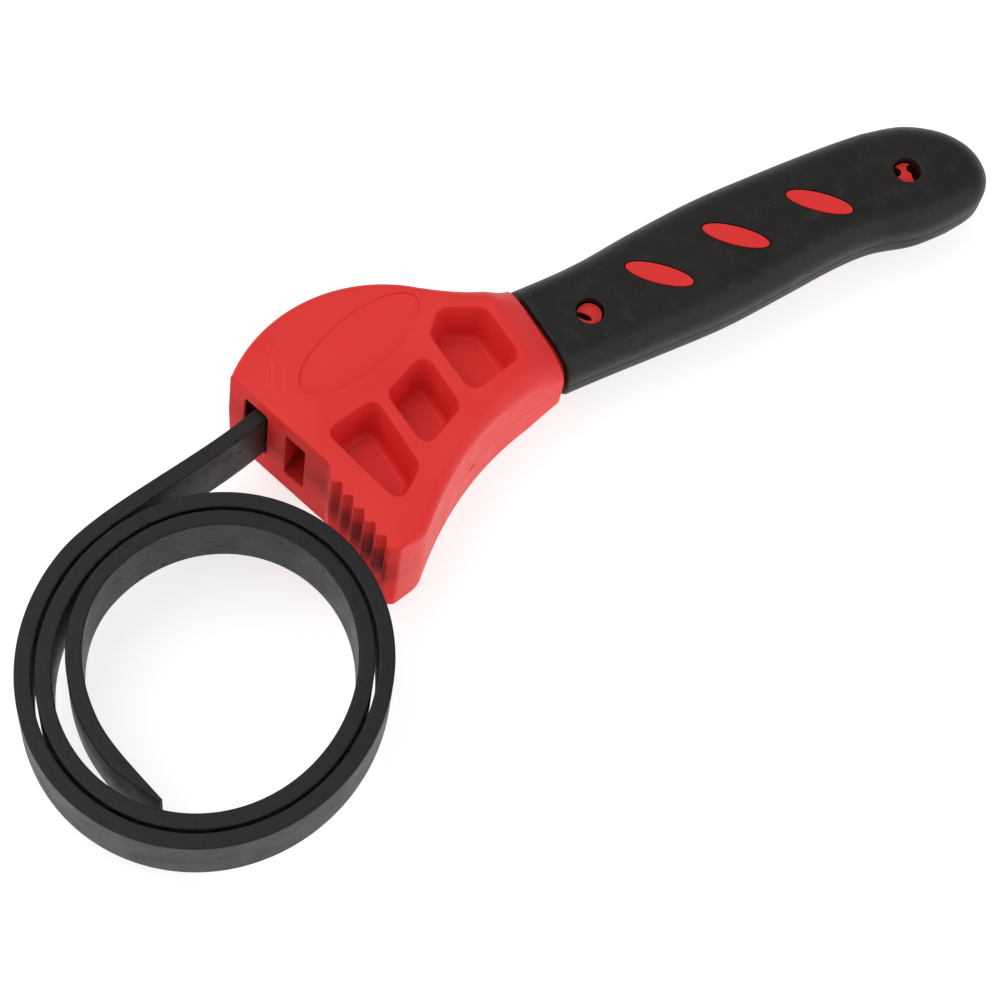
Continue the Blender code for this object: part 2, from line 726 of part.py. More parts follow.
def main():
    for old in list(bpy.data.objects):
        bpy.data.objects.remove(old, do_unlink=True)

    red = material('red_plastic', (0.63, 0.035, 0.03), 0.4)
    rubber = material('black_rubber', (0.025, 0.024, 0.023), 0.6)
    strap_rubber = material('strap_rubber', (0.02, 0.02, 0.02), 0.5)
    steel = material('steel', (0.6, 0.6, 0.6), 0.35, 1.0)

    body = plastic_body()
    lower_shell = copy_of(body, 'lower_shell')
    upper_shell = copy_of(body, 'upper_shell')
    bpy.data.objects.remove(body, do_unlink=True)
    above = half_space('above_parting', PARTING_Z - GAP / 2, 3 * PARTING_Z)
    below = half_space('below_parting', -PARTING_Z, PARTING_Z + GAP / 2)
    combine(lower_shell, above, 'DIFFERENCE')
    combine(upper_shell, below, 'DIFFERENCE')
    dress(lower_shell, red)
    dress(upper_shell, red)
    dress(grip_sleeve(), rubber)

    line = strap_line()
    root = strap_root(line)
    dress(root, strap_rubber)
    for piece in strap_pieces(line, root):
        dress(piece, strap_rubber)

    dress(anchor_pin(), steel)
    for number, centre in enumerate(SCREWS, 1):
        dress(screw(number, centre), steel)


main()
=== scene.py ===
"""Looks of the oil filter strap wrench: moulded head shells, a rubber grip and a supple rubber strap.

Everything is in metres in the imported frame: the origin on the flat underside below the oval panel,
+X along the handle away from the head, +Z out of the head's top face.
"""

import json
from math import atan2, cos, pi, radians, sin, tan

import bmesh
import bpy
from mathutils import Matrix, Vector

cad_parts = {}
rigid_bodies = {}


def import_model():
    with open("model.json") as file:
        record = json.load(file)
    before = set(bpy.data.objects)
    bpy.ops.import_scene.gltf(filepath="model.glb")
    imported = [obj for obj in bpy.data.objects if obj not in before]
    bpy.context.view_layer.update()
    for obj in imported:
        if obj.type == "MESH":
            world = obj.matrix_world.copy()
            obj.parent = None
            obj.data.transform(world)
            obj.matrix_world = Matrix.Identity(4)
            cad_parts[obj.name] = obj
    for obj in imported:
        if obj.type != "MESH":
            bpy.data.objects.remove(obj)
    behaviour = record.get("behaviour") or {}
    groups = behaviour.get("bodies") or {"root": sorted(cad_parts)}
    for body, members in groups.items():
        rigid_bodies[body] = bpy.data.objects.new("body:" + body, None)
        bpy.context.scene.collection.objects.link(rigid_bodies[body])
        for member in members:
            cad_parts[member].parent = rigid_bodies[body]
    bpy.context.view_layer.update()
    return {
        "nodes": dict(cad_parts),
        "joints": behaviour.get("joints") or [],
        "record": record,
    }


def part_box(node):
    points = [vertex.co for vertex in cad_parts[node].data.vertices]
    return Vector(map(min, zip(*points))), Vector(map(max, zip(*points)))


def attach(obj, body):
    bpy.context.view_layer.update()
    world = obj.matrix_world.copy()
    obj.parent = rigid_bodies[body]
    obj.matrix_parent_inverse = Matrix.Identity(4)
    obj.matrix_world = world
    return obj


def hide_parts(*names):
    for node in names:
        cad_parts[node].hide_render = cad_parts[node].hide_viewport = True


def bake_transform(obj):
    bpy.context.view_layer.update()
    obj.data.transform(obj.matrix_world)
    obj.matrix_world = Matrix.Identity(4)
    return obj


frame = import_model()

MM = 0.001

# -------------------------------- sizes and places

HEAD_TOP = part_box('upper_shell')[1].z
PARTING_Z = HEAD_TOP / 2
HEAD_DRAFT = radians(1.0)
FACE_START = Vector((-38.05, 6.45)) * MM
FACE_DIR = Vector((0.321, -0.947)).normalized()  # along the front face
FACE_IN = Vector((0.947, 0.321)).normalized()  # from the front face into the head
FACE_LENGTH = 39 * MM
TOOTH_COUNT = 6
TOOTH_FIRST_TIP = Vector((-27.6, -35.6)) * MM
TOOTH_STEP = Vector((0.86, -5.0)) * MM
TOOTH_ROOT = Vector((2.7, -1.4)) * MM
JAW_CORNER = Vector((-19.9, -62.7)) * MM
TOOTH_SOFTENING = 0.85 * MM  # reach of the curve at each corner of the jaw
JAW_HEEL = Vector((-11.3, -61.4)) * MM
HEEL_START = JAW_HEEL + Vector((-3.0, -0.45)) * MM
HEEL_HANDLE = JAW_HEEL + Vector((1.0, 0.8)) * MM
HEEL_END = JAW_HEEL + Vector((2.2, 2.0)) * MM
BACK_HANDLES = ((4.0, -47.2), (22.0, -33.4))  # of the curve from the heel to the shoulder
FAR_HANDLES = ((44.5, -1.3), (33.5, 3.6))  # of the curve from the shoulder to the far bend
FAR_BEND = (24.6, 9.2)
FAR_MIDDLE = (-5.3, 19.6)  # on the arc from the far bend to the front face
FACE_ROUNDS = (0.9 * MM, 0.5 * MM)  # edge rounding along the outline, in turn
TOOTH_ROUND = 0.3 * MM
JAW_ROUND = 0.8 * MM
HEEL_ROUNDS = (1.6 * MM, 1.8 * MM, 3.4 * MM)
FAR_ROUNDS = (8.0 * MM, 2.8 * MM, 1.6 * MM)
NECK_START_X = 41 * MM
NECK_HALF = 13 * MM
NECK_POWER = 1.25
SHOULDER_ROUND = 10.5 * MM
SHOULDER_EXTRA = 16 * MM
SHOULDER_NEAR = Vector((51.5, -31.5)) * MM
SHOULDER_FAR = Vector((49.4, 0.7)) * MM
PARTING_GROOVE = (0.22 * MM, 0.3 * MM)  # half width and depth of the line between the shells
WALL_BELT = 1.8 * MM  # height of a ring that keeps the wall's shading even

PANEL_HALF = (22.5 * MM, 8.75 * MM)
PANEL_TILT = radians(16.4)
PANEL_DEPTH = 0.95 * MM
PANEL_STEP = 0.45 * MM
PANEL_RIM = 0.45 * MM
ARROW_LINE = 0.3 * MM
ARROW_RISE = 0.22 * MM
ARROW = ((-28.35, -5.13), (-24.9, -3.0), (-25.6, -2.4), (-23.8, 1.2), (-22.4, 4.6), (-20.7, 9.8),
         (-23.7, 10.7), (-24.7, 7.0), (-26.6, 2.5), (-28.5, -1.2), (-29.5, -1.2))

STRAP_SLOT = (6.0 * MM, 14.8 * MM, 11.5 * MM, 34.5 * MM)
STRAP_SLOT_DEPTH = 15 * MM
STRAP_SLOT_RIM = 0.35 * MM
PASS_SLOT = (22.0 * MM, 29.6 * MM, 10.0 * MM, 33.5 * MM)
PASS_EXIT = Vector((22.0, 9.0)) * MM
PASS_OVERRUN = (6 * MM, 8 * MM)  # of the cutter past the head at either end
PASS_RIM = 0.4 * MM
PASS_MOUTH_DEPTH = 2.2 * MM
PASS_MOUTH_CLEAR = 0.06 * MM  # keeps the mouth's walls inside the slot's
SLOT_CORNER = 0.9 * MM
SLOT_FLOOR = 0.8 * MM

POCKET_DEPTH = 13.5 * MM
POCKET_DRAFT = radians(9)
POCKET_CORNER = 3.9 * MM
POCKET_RIM = 0.9 * MM
POCKET_FLOOR = 1.8 * MM
POCKETS = (
    ((26.0, 0.2), (19.4, -6.6), (21.6, -28.2), (39.7, -24.0), (38.2, -5.8)),
    ((-0.7, -17.8), (1.4, -37.9), (16.6, -30.7), (15.2, -10.7)),
    ((-21.9, -20.7), (-13.1, -50.0), (-2.9, -42.1), (-4.4, -17.6)),
)
POCKET_MARKS = (((28.6, -6.0), -80), ((3.4, -19.6), -75), ((-14.0, -22.0), -75))  # place and heading
MARK_COUNT = 4
MARK_FAN = 17  # degrees from one mark to the next
MARK_REACH = (1.2 * MM, 3.6 * MM)
MARK_HALF_WIDTH = 0.14 * MM
MARK_DEPTH = 0.12 * MM
GATE_PLACE = Vector((15.8, -41.2)) * MM
GATE_ALONG = Vector((0.79, 0.61))
GATE_OUTWARD = Vector((0.61, -0.79))
GATE_HALF = (1.6 * MM, 1.2 * MM)  # half length at the mouth and at the bottom
GATE_DEPTH = 0.3 * MM
GATE_SPAN = (-1.1 * MM, 0.4 * MM)  # from the parting plane

GRIP_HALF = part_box('grip_sleeve')[1].z - PARTING_Z
GRIP_ROUND = 10 * MM
GRIP_FALL = 0.85  # height of the edge rounding for each width
GRIP_WALL = 2.5 * MM
CAVITY_GAP = 0.1 * MM
GRIP_START_X = 45 * MM
CORE_START_X = 46 * MM
CAVITY_START_X = 47 * MM
GRIP_FAR = ((10, 3.0), (40, 2.6), (71, 2.2), (94, 4.4), (118, 6.1), (141, 5.9), (164, 5.1), (178, 4.0))
GRIP_END = ((191.5, 0.6), (202.2, -7.0), (207.4, -16.5), (206.6, -26.5), (200, -32.8))
GRIP_NEAR = ((189, -34.6), (177, -34.0), (163, -30.6), (149, -30.3), (131, -31.6), (109, -32.9),
             (86, -32.3), (66, -31.5), (40, -31.0), (10, -30.5))
MOUTH_FAR = Vector((51.9, 3.2)) * MM
MOUTH_NEAR = Vector((54.0, -31.5)) * MM
MOUTH_LIP = 0.7 * MM
GRIP_HOLES = ((68.6, -16.3), (181.6, -16.3))
GRIP_HOLE_RADIUS = 4.3 * MM
GRIP_HOLE_RIM = 0.5 * MM
DISC_RADIUS = 3.75 * MM
DISC_GAP_REACH = 0.7 * MM  # of the gap past the grip's hole
DISC_GAP_DEPTH = 3.5 * MM
OPENING_SIDEWAYS = Vector((0.875, -0.484))  # the core openings' own directions
OPENING_UPWARDS = Vector((0.484, 0.875))
OPENING_FLOOR = 2 * MM  # from the parting plane
CORE_OPENINGS = (  # hole, offset, half sizes and turn in degrees
    (0, (-1.6, -0.8), (2.6, 1.05), -24),
    (1, (3.5, 0.5), (1.8, 3.4), 0),
    (1, (1.9, 1.9), (1.65, 1.6), 0),
    (1, (-2.9, 0.3), (1.6, 1.6), 0),
)
PADS = ((93.5, -14.6), (121.2, -13.3), (150.6, -14.3))
PAD_HALF = (10.5 * MM, 3.25 * MM)
PAD_TILT = radians(-42)
PAD_GAP = 0.35 * MM
PAD_RISE = 0.3 * MM
PAD_EDGE = 0.55 * MM

STRAP_LOW, STRAP_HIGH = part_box('strap_link_01')
STRAP_WIDTH = STRAP_HIGH.z - STRAP_LOW.z
STRAP_MID_Z = (STRAP_HIGH.z + STRAP_LOW.z) / 2
STRAP_THICKNESS = 4.6 * MM
STRAP_AXIS = FACE_START + FACE_DIR * 12.1 * MM  # where its centre line crosses the face
STRAP_CORNER = 0.45 * MM
STRAP_RING = 1.3 * MM
STRAP_STEPS = (14, 6)  # round the section: up each side, across each edge
PIN_RADIUS = 2.5 * MM
PIN_GAP = 0.3 * MM
EYE_RADIUS = 5.3 * MM
EYE_GAP = 0.6 * MM
EYE_OVERLAP = 2 * MM  # of the strap's band into its eye
LINK_LENGTH = 45.3 * MM
COIL_CENTRE = Vector((-80.03, -66.27)) * MM
COIL_RADIUS = 52.57 * MM
COIL_PITCH = 5.52 * MM
COIL_OVAL = 1.71 * MM
COIL_OVAL_ANGLE = radians(33.8)
COIL_START = radians(116)
COIL_END = radians(944)
TAIL_START = radians(832)
TAIL_PEAK = radians(902)
TAIL_RETURN = radians(938)
TAIL_LIFT = 4.1 * MM
TAIL_TAPER = 15 * MM
TAIL_TIP = 0.9 * MM
LEAD_HANDLES = (21.7 * MM, 17.4 * MM)
ROOT_END = -4 * MM  # inside the slot, where the strap's next stretch takes over
ROOT_BEND_END = 16 * MM

SCREW_NODES = [f'shell_screw_{number}' for number in range(1, 5)]
SCREW_HEAD_HEIGHT = 2.2 * MM
SCREW_SHANK_RADIUS = 1.5 * MM
SCREW_TIP = (2 * MM, 0.3 * MM)  # length and end radius
SCREW_CROWN = ((0.25, -0.1), (0.6, 0.0), (0.85, 0.35), (0.97, 0.9), (1.0, 1.5))  # share of radius, mm up
CROSS_LEVELS = ((-0.5, 2.0, 0.42), (0.0, 1.9, 0.42), (1.5, 0.7, 0.3))  # depth, half length, half width
CROSS_TURN = 0.4
SEAT_GAP = 0.3 * MM
SEAT_RIM = 0.5 * MM
SEAT_DEPTH = 5.8 * MM

MERGE_DISTANCE = 1e-6
ON_PLANE = 1e-7
MITRE_LIMIT = 0.6
CREASE = 34  # degrees beyond which an edge stays crisp
STRAP_CREASE = 50


# -------------------------------- curves

def flat(point):
    return Vector(point) * MM


def bezier(p0, p1, p2, p3, steps):
    """Points of a cubic Bezier from p0 up to, but not including, p3."""
    points = []
    for i in range(steps):
        t = i / steps
        points.append((1 - t) ** 3 * p0 + 3 * t * (1 - t) ** 2 * p1
                      + 3 * t * t * (1 - t) * p2 + t ** 3 * p3)
    return points


def smooth_curve(controls, steps):
    """A Catmull-Rom curve through the control points."""
    points = []
    count = len(controls)
    for i in range(count - 1):
        p0 = controls[max(i - 1, 0)]
        p1 = controls[i]
        p2 = controls[i + 1]
        p3 = controls[min(i + 2, count - 1)]
        points += bezier(p1, p1 + (p2 - p0) / 6, p2 - (p3 - p1) / 6, p2, steps)
    points.append(controls[-1])
    return points


def arc_through(start, middle, end, steps):
    """Points of the circle arc from start through middle to end, without end."""
    ax, ay = start
    bx, by = middle
    cx, cy = end
    double = 2 * (ax * (by - cy) + bx * (cy - ay) + cx * (ay - by))
    ux = (start.length_squared * (by - cy) + middle.length_squared * (cy - ay)
          + end.length_squared * (ay - by)) / double
    uy = (start.length_squared * (cx - bx) + middle.length_squared * (ax - cx)
          + end.length_squared * (bx - ax)) / double
    centre = Vector((ux, uy))
    radius = (start - centre).length
    first = atan2(start.y - uy, start.x - ux)
    last = atan2(end.y - uy, end.x - ux)
    points = []
    for i in range(steps):
        angle = first + (last - first) * i / steps
        points.append(centre + Vector((cos(angle), sin(angle))) * radius)
    return points


def corner_curve(start, corner, end, steps):
    """Points of a quadratic curve from start to end that bends towards the corner."""
    points = []
    for i in range(steps + 1):
        t = i / steps
        points.append((1 - t) ** 2 * start + 2 * t * (1 - t) * corner + t * t * end)
    return points


def rounded_corners(corners, radius, steps):
    """A closed outline with each corner replaced by a quadratic curve of about that radius."""
    points = []
    count = len(corners)
    for i, corner in enumerate(corners):
        before = (corners[i - 1] - corner).normalized()
        after = (corners[(i + 1) % count] - corner).normalized()
        reach = radius / tan(before.angle(after) / 2)
        points += corner_curve(corner + before * reach, corner, corner + after * reach, steps)
    return points


def ellipse(centre, half, tilt, steps, grow=0.0):
    along = Vector((cos(tilt), sin(tilt)))
    across = Vector((-sin(tilt), cos(tilt)))
    points = []
    for i in range(steps):
        angle = 2 * pi * i / steps
        points.append(centre + along * (half[0] + grow) * cos(angle)
                      + across * (half[1] + grow) * sin(angle))
    return points


def inward_normals(outline):
    """Mitred inward normals of a counter-clockwise outline."""
    count = len(outline)
    normals = []
    for i in range(count):
        before = (outline[i] - outline[i - 1]).normalized()
        after = (outline[(i + 1) % count] - outline[i]).normalized()
        first = Vector((-before.y, before.x))
        second = Vector((-after.y, after.x))
        normals.append((first + second) / max(1 + first.dot(second), MITRE_LIMIT))
    return normals


def quarter_round(steps):
    """(inset, drop) pairs of a quarter circle of radius 1, from the flat face to the wall."""
    pairs = []
    for i in range(steps + 1):
        angle = pi / 2 * i / steps
        pairs.append((1 - sin(angle), 1 - cos(angle)))
    return pairs


# -------------------------------- meshes

def mesh_object(name, mesh):
    data = bpy.data.meshes.new(name)
    mesh.to_mesh(data)
    mesh.free()
    thing = bpy.data.objects.new(name, data)
    bpy.context.scene.collection.objects.link(thing)
    return thing


def skin(mesh, rings, following):
    """Faces between each ring of vertices and the one that follows it."""
    count = len(rings[0])
    for first, second in zip(rings, following):
        for i in range(count):
            j = (i + 1) % count
            mesh.faces.new((first[i], first[j], second[j], second[i]))


def skin_closed(mesh, rings):
    """A closed skin along a run of rings, with a face at each end."""
    skin(mesh, rings, rings[1:])
    mesh.faces.new(rings[0][::-1])
    mesh.faces.new(rings[-1])


def loft(name, rings):
    """A closed solid through rings of equal length."""
    mesh = bmesh.new()
    skin_closed(mesh, [[mesh.verts.new(point) for point in ring] for ring in rings])
    bmesh.ops.remove_doubles(mesh, verts=mesh.verts, dist=MERGE_DISTANCE)
    bmesh.ops.recalc_face_normals(mesh, faces=mesh.faces)
    return mesh_object(name, mesh)


def at_height(outline, z):
    return [Vector((p.x, p.y, z)) for p in outline]


def prism(name, outline, low, high):
    return loft(name, [at_height(outline, low), at_height(outline, high)])


def circle(centre, radius, steps=48):
    return ellipse(centre, (radius, radius), 0.0, steps)


def cylinder(name, centre, radius, low, high):
    return prism(name, circle(centre, radius), low, high)


def rounded_slab(name, outline, rounds, half, fall, steps, draft=0.0):
    """A slab about the parting plane, its edges rounded, with a fine groove on that plane."""
    normals = inward_normals(outline)
    groove_half, groove_depth = PARTING_GROOVE
    rings = []
    for side in (-1, 1):
        stack = []
        for inset, drop in quarter_round(steps):
            ring = []
            for point, normal, width in zip(outline, normals, rounds):
                z = half - width * fall * drop
                place = point + normal * (width * inset - (half - z) * tan(draft))
                ring.append(Vector((place.x, place.y, PARTING_Z + side * z)))
            stack.append(ring)
        for height in (WALL_BELT, groove_half):
            wall = [point - normal * (half - height) * tan(draft)
                    for point, normal in zip(outline, normals)]
            stack.append(at_height(wall, PARTING_Z + side * height))
        if side < 0:
            bottom = [point + normal * (groove_depth - half * tan(draft))
                      for point, normal in zip(outline, normals)]
            rings += stack + [at_height(bottom, PARTING_Z)]
        else:
            rings += stack[::-1]
    return loft(name, rings)


def combine(thing, other, operation):
    """One exact Boolean step, applied at once; the other object is used up."""
    step = thing.modifiers.new(other.name, 'BOOLEAN')
    step.operation = operation
    step.solver = 'EXACT'
    step.object = other
    graph = bpy.context.evaluated_depsgraph_get()
    data = bpy.data.meshes.new_from_object(thing.evaluated_get(graph))
    thing.modifiers.clear()
    thing.data = data
    bpy.data.objects.remove(other, do_unlink=True)


def copy_of(thing, name):
    twin = bpy.data.objects.new(name, thing.data.copy())
    bpy.context.scene.collection.objects.link(twin)
    return twin


def cut_plane(thing, point, keep_side, lip=0.0):
    """Cut a solid with a plane, keep the side the normal points to, close it, and round the new edge."""
    mesh = bmesh.new()
    mesh.from_mesh(thing.data)
    geometry = mesh.verts[:] + mesh.edges[:] + mesh.faces[:]
    result = bmesh.ops.bisect_plane(mesh, geom=geometry, plane_co=point, plane_no=keep_side,
                                    clear_inner=True)
    edges = [item for item in result['geom_cut'] if isinstance(item, bmesh.types.BMEdge)]
    bmesh.ops.contextual_create(mesh, geom=edges)
    if lip:
        rim = [edge for edge in mesh.edges
               if all(abs((vert.co - point).dot(keep_side)) < ON_PLANE for vert in edge.verts)]
        bmesh.ops.bevel(mesh, geom=rim, offset=lip, segments=4, profile=0.5, affect='EDGES')
    bmesh.ops.recalc_face_normals(mesh, faces=mesh.faces)
    mesh.to_mesh(thing.data)
    mesh.free()


def finish_surface(thing, look, sharp=CREASE):
    """Smooth shading with crisp creases, and the piece's material."""
    thing.data.materials.clear()
    thing.data.materials.append(look)
    thing.data.shade_smooth()
    thing.data.set_sharp_from_angle(angle=radians(sharp))
    weighted = thing.modifiers.new('weighted_normals', 'WEIGHTED_NORMAL')
    weighted.keep_sharp = True


# -------------------------------- head and handle core

def spread(start, end, count):
    return [start + (end - start) * i / max(count - 1, 1) for i in range(count)]


def softened(points, rounds, radius, steps):
    """Replace each corner of an open run of points by a short curve."""
    new_points = [points[0]]
    new_rounds = [rounds[0]]
    for i in range(1, len(points) - 1):
        corner = points[i]
        before = (points[i - 1] - corner).normalized()
        after = (points[i + 1] - corner).normalized()
        new_points += corner_curve(corner + before * radius, corner, corner + after * radius, steps)
        new_rounds += [rounds[i]] * (steps + 1)
    return new_points + [points[-1]], new_rounds + [rounds[-1]]


def head_outline():
    """The head's outline at its flat faces, counter-clockwise, and its edge rounding."""
    corner_round, start_round, heel_round = HEEL_ROUNDS
    teeth = [FACE_START, FACE_START + FACE_DIR * FACE_LENGTH]
    widths = list(FACE_ROUNDS)
    for i in range(TOOTH_COUNT):
        tip = TOOTH_FIRST_TIP + TOOTH_STEP * i
        teeth.append(tip)
        widths.append(TOOTH_ROUND)
        if i < TOOTH_COUNT - 1:
            teeth.append(tip + TOOTH_ROOT)
            widths.append(TOOTH_ROUND)
    teeth += [JAW_CORNER, HEEL_START]
    widths += [JAW_ROUND, corner_round]
    points, rounds = softened(teeth, widths, TOOTH_SOFTENING, 3)
    points = points[:-1]
    rounds = rounds[:-1]

    heel = bezier(HEEL_START, JAW_HEEL, HEEL_HANDLE, HEEL_END, 8)
    points += heel
    rounds += spread(start_round, heel_round, len(heel))

    back = bezier(HEEL_END, *(flat(p) for p in BACK_HANDLES), SHOULDER_NEAR, 48)
    points += back
    rounds += [heel_round + (SHOULDER_ROUND - heel_round) * (i / len(back)) ** 3 for i in range(len(back))]
    beyond = Vector((SHOULDER_EXTRA, 0))
    points += [SHOULDER_NEAR, SHOULDER_NEAR + beyond, SHOULDER_FAR + beyond]
    rounds += [SHOULDER_ROUND] * 3

    neck_round, bend_round, face_round = FAR_ROUNDS
    side = bezier(SHOULDER_FAR, *(flat(p) for p in FAR_HANDLES), flat(FAR_BEND), 28)
    points += side
    rounds += spread(neck_round, bend_round, len(side))
    arc = arc_through(flat(FAR_BEND), flat(FAR_MIDDLE), FACE_START, 60)
    points += arc
    rounds += spread(bend_round, face_round, len(arc))
    return points, rounds


def narrow_neck(thing):
    """Let both faces fall in a curve from NECK_START_X to the shoulder."""
    end = SHOULDER_NEAR - SHOULDER_FAR
    cut_plane(thing, SHOULDER_NEAR.to_3d(), Vector((end.y, -end.x, 0)).normalized())
    mesh = bmesh.new()
    mesh.from_mesh(thing.data)
    reach = SHOULDER_NEAR.x - NECK_START_X
    slices = 14
    for i in range(slices):
        plane = Vector((NECK_START_X + reach * i / slices, 0, 0))
        bmesh.ops.bisect_plane(mesh, geom=mesh.verts[:] + mesh.edges[:] + mesh.faces[:],
                               plane_co=plane, plane_no=Vector((1, 0, 0)))
    for vert in mesh.verts:
        share = max(vert.co.x - NECK_START_X, 0) / reach
        scale = 1 - (1 - NECK_HALF / PARTING_Z) * share ** NECK_POWER
        vert.co.z = PARTING_Z + (vert.co.z - PARTING_Z) * scale
    mesh.to_mesh(thing.data)
    mesh.free()


def handle_outline(inset):
    """The handle's outline, counter-clockwise, moved in by a constant width."""
    end_controls = (GRIP_NEAR[0], *reversed(GRIP_END), GRIP_FAR[-1])
    near, end, far = (smooth_curve([flat(p) for p in controls], 8)
                      for controls in (reversed(GRIP_NEAR), end_controls, reversed(GRIP_FAR)))
    points = near + end[1:-1] + far
    normals = inward_normals(points)
    return [point + normal * inset for point, normal in zip(points, normals)]


def handle_slab(name, inset, start_x, steps):
    outline = handle_outline(inset)
    width = GRIP_ROUND - inset
    slab = rounded_slab(name, outline, [width] * len(outline), GRIP_HALF - inset, GRIP_FALL, steps)
    cut_plane(slab, Vector((start_x, 0, 0)), Vector((1, 0, 0)))
    return slab


def recess(name, corners, corner_radius, profile, place):
    """A cutter whose rim and floor are rounded.

    corners is a polygon in the opening's own plane, profile a list of (depth, inset, extra corner
    radius) and place turns a point of that plane and a depth into a point of the model.
    """
    normals = inward_normals(corners)
    rings = []
    for depth, inset, extra in profile:
        moved = [corner + normal * inset for corner, normal in zip(corners, normals)]
        outline = rounded_corners(moved, corner_radius + extra, 8)
        rings.append([place(point, depth) for point in outline])
    return loft(name, rings)


def rim_and_floor(depth, rim, floor, draft):
    """The (depth, inset, extra corner radius) profile of a recess."""
    profile = [(-2 * MM, -rim, rim)]
    for inset, drop in quarter_round(5):
        profile.append((rim * drop, -rim * inset, rim * inset))
    wall = tan(draft)
    for inset, drop in reversed(quarter_round(6)):
        at = depth - floor * drop
        profile.append((at, at * wall + floor * inset, -floor * inset))
    return profile


def pocket_cutter(name, corners, face_sign):
    def place(point, depth):
        return Vector((point.x, point.y, PARTING_Z + face_sign * (PARTING_Z - depth)))
    profile = rim_and_floor(POCKET_DEPTH, POCKET_RIM, POCKET_FLOOR, POCKET_DRAFT)
    return recess(name, [flat(p) for p in corners], POCKET_CORNER, profile, place)


def face_recess(name, span, depth, rim):
    """A slot into the front face: a span along it and a height range."""
    start, end, low, high = span
    corners = [Vector((start, low)), Vector((end, low)), Vector((end, high)), Vector((start, high))]

    def place(point, inwards):
        plan = FACE_START + FACE_DIR * point.x + FACE_IN * inwards
        return Vector((plan.x, plan.y, point.y))
    return recess(name, corners, SLOT_CORNER, rim_and_floor(depth, rim, SLOT_FLOOR, 0.0), place)


def pass_channel():
    """The slot for the strap's free end, straight through to the head's far side."""
    start, end, low, high = PASS_SLOT
    entry = FACE_START + FACE_DIR * (start + end) / 2
    along = (PASS_EXIT - entry).normalized()
    across = Vector((-along.y, along.x)) * (end - start) / 2
    first = entry - along * PASS_OVERRUN[0]
    last = PASS_EXIT + along * PASS_OVERRUN[1]
    return prism('pass_slot', [first - across, last - across, last + across, first + across], low, high)


def pass_mouth():
    """The rounded rim of the pass slot; below the rim it lies inside the slot."""
    start, end, low, high = PASS_SLOT
    clear = PASS_MOUTH_CLEAR
    span = (start + clear, end - clear, low + clear, high - clear)
    return face_recess('pass_mouth', span, PASS_MOUTH_DEPTH, PASS_RIM)


def panel_recess():
    """The oval panel, sunk a little into the top face, with a rounded rim and a short slope."""
    levels = [(-MM, PANEL_RIM)]
    levels += [(PANEL_STEP * drop, PANEL_RIM * inset) for inset, drop in quarter_round(4)]
    levels.append((PANEL_DEPTH, -PANEL_STEP))
    centre = Vector((0, 0))
    rings = [at_height(ellipse(centre, PANEL_HALF, PANEL_TILT, 112, grow), HEAD_TOP - depth)
             for depth, grow in levels]
    return loft('panel_recess', rings)


def raised_line(name, outline, half_width, rise, top):
    """A fine rounded ridge along a closed level path."""
    section = ((-1.0, -0.4 * MM), (-1.0, 0.0), (-0.5, 0.8 * rise), (0.0, rise), (0.5, 0.8 * rise),
               (1.0, 0.0), (1.0, -0.4 * MM))
    mesh = bmesh.new()
    rings = []
    for point, normal in zip(outline, inward_normals(outline)):
        ring = []
        for side, lift in section:
            place = point + normal * side * half_width
            ring.append(mesh.verts.new((place.x, place.y, top + lift)))
        rings.append(ring)
    skin(mesh, rings, rings[1:] + rings[:1])
    bmesh.ops.recalc_face_normals(mesh, faces=mesh.faces)
    return mesh_object(name, mesh)


def gate_notch():
    """The small scar left by the moulding gate on the parting line of the back edge."""
    wide, narrow = (GATE_ALONG * half for half in GATE_HALF)
    mouth = GATE_PLACE + GATE_OUTWARD * 2 * MM
    bottom = GATE_PLACE - GATE_OUTWARD * GATE_DEPTH
    outline = [mouth - wide, bottom - narrow, bottom + narrow, mouth + wide]
    return prism('gate_notch', outline, PARTING_Z + GATE_SPAN[0], PARTING_Z + GATE_SPAN[1])


def floor_marks():
    """Faint fanned ejector marks pressed into the floors of the top pockets."""
    marks = []
    floor = HEAD_TOP - POCKET_DEPTH
    for spot, heading in POCKET_MARKS:
        for k in range(MARK_COUNT):
            angle = radians(heading + MARK_FAN * (k - (MARK_COUNT - 1) / 2))
            along = Vector((cos(angle), sin(angle)))
            across = Vector((-along.y, along.x)) * MARK_HALF_WIDTH
            start, end = (flat(spot) + along * reach for reach in MARK_REACH)
            outline = [start - across, end - across, end + across, start + across]
            marks.append(prism('floor_mark', outline, floor - MARK_DEPTH, floor + 0.3 * MM))
    return marks


def hole_features():
    """Deep openings in the core, seen through the grip's two holes."""
    holes = [flat(p) for p in GRIP_HOLES]
    tilt = atan2(OPENING_SIDEWAYS.y, OPENING_SIDEWAYS.x)
    cutters = []
    for centre in holes:
        for side in (-1, 1):
            top = PARTING_Z + side * (GRIP_HALF + MM)
            deep = PARTING_Z + side * (GRIP_HALF - GRIP_WALL - DISC_GAP_DEPTH)
            low, high = sorted((top, deep))
            gap = cylinder('disc_gap', centre, GRIP_HOLE_RADIUS + DISC_GAP_REACH, low, high)
            combine(gap, cylinder('disc', centre, DISC_RADIUS, low - MM, high + MM), 'DIFFERENCE')
            cutters.append(gap)
    for hole, (aside, up), half, turn in CORE_OPENINGS:
        centre = holes[hole] + (OPENING_SIDEWAYS * aside + OPENING_UPWARDS * up) * MM
        outline = ellipse(centre, flat(half), tilt + radians(turn), 32)
        for side in (-1, 1):
            low, high = sorted((PARTING_Z + side * (GRIP_HALF + MM), PARTING_Z + side * OPENING_FLOOR))
            cutters.append(prism('core_opening', outline, low, high))
    return cutters


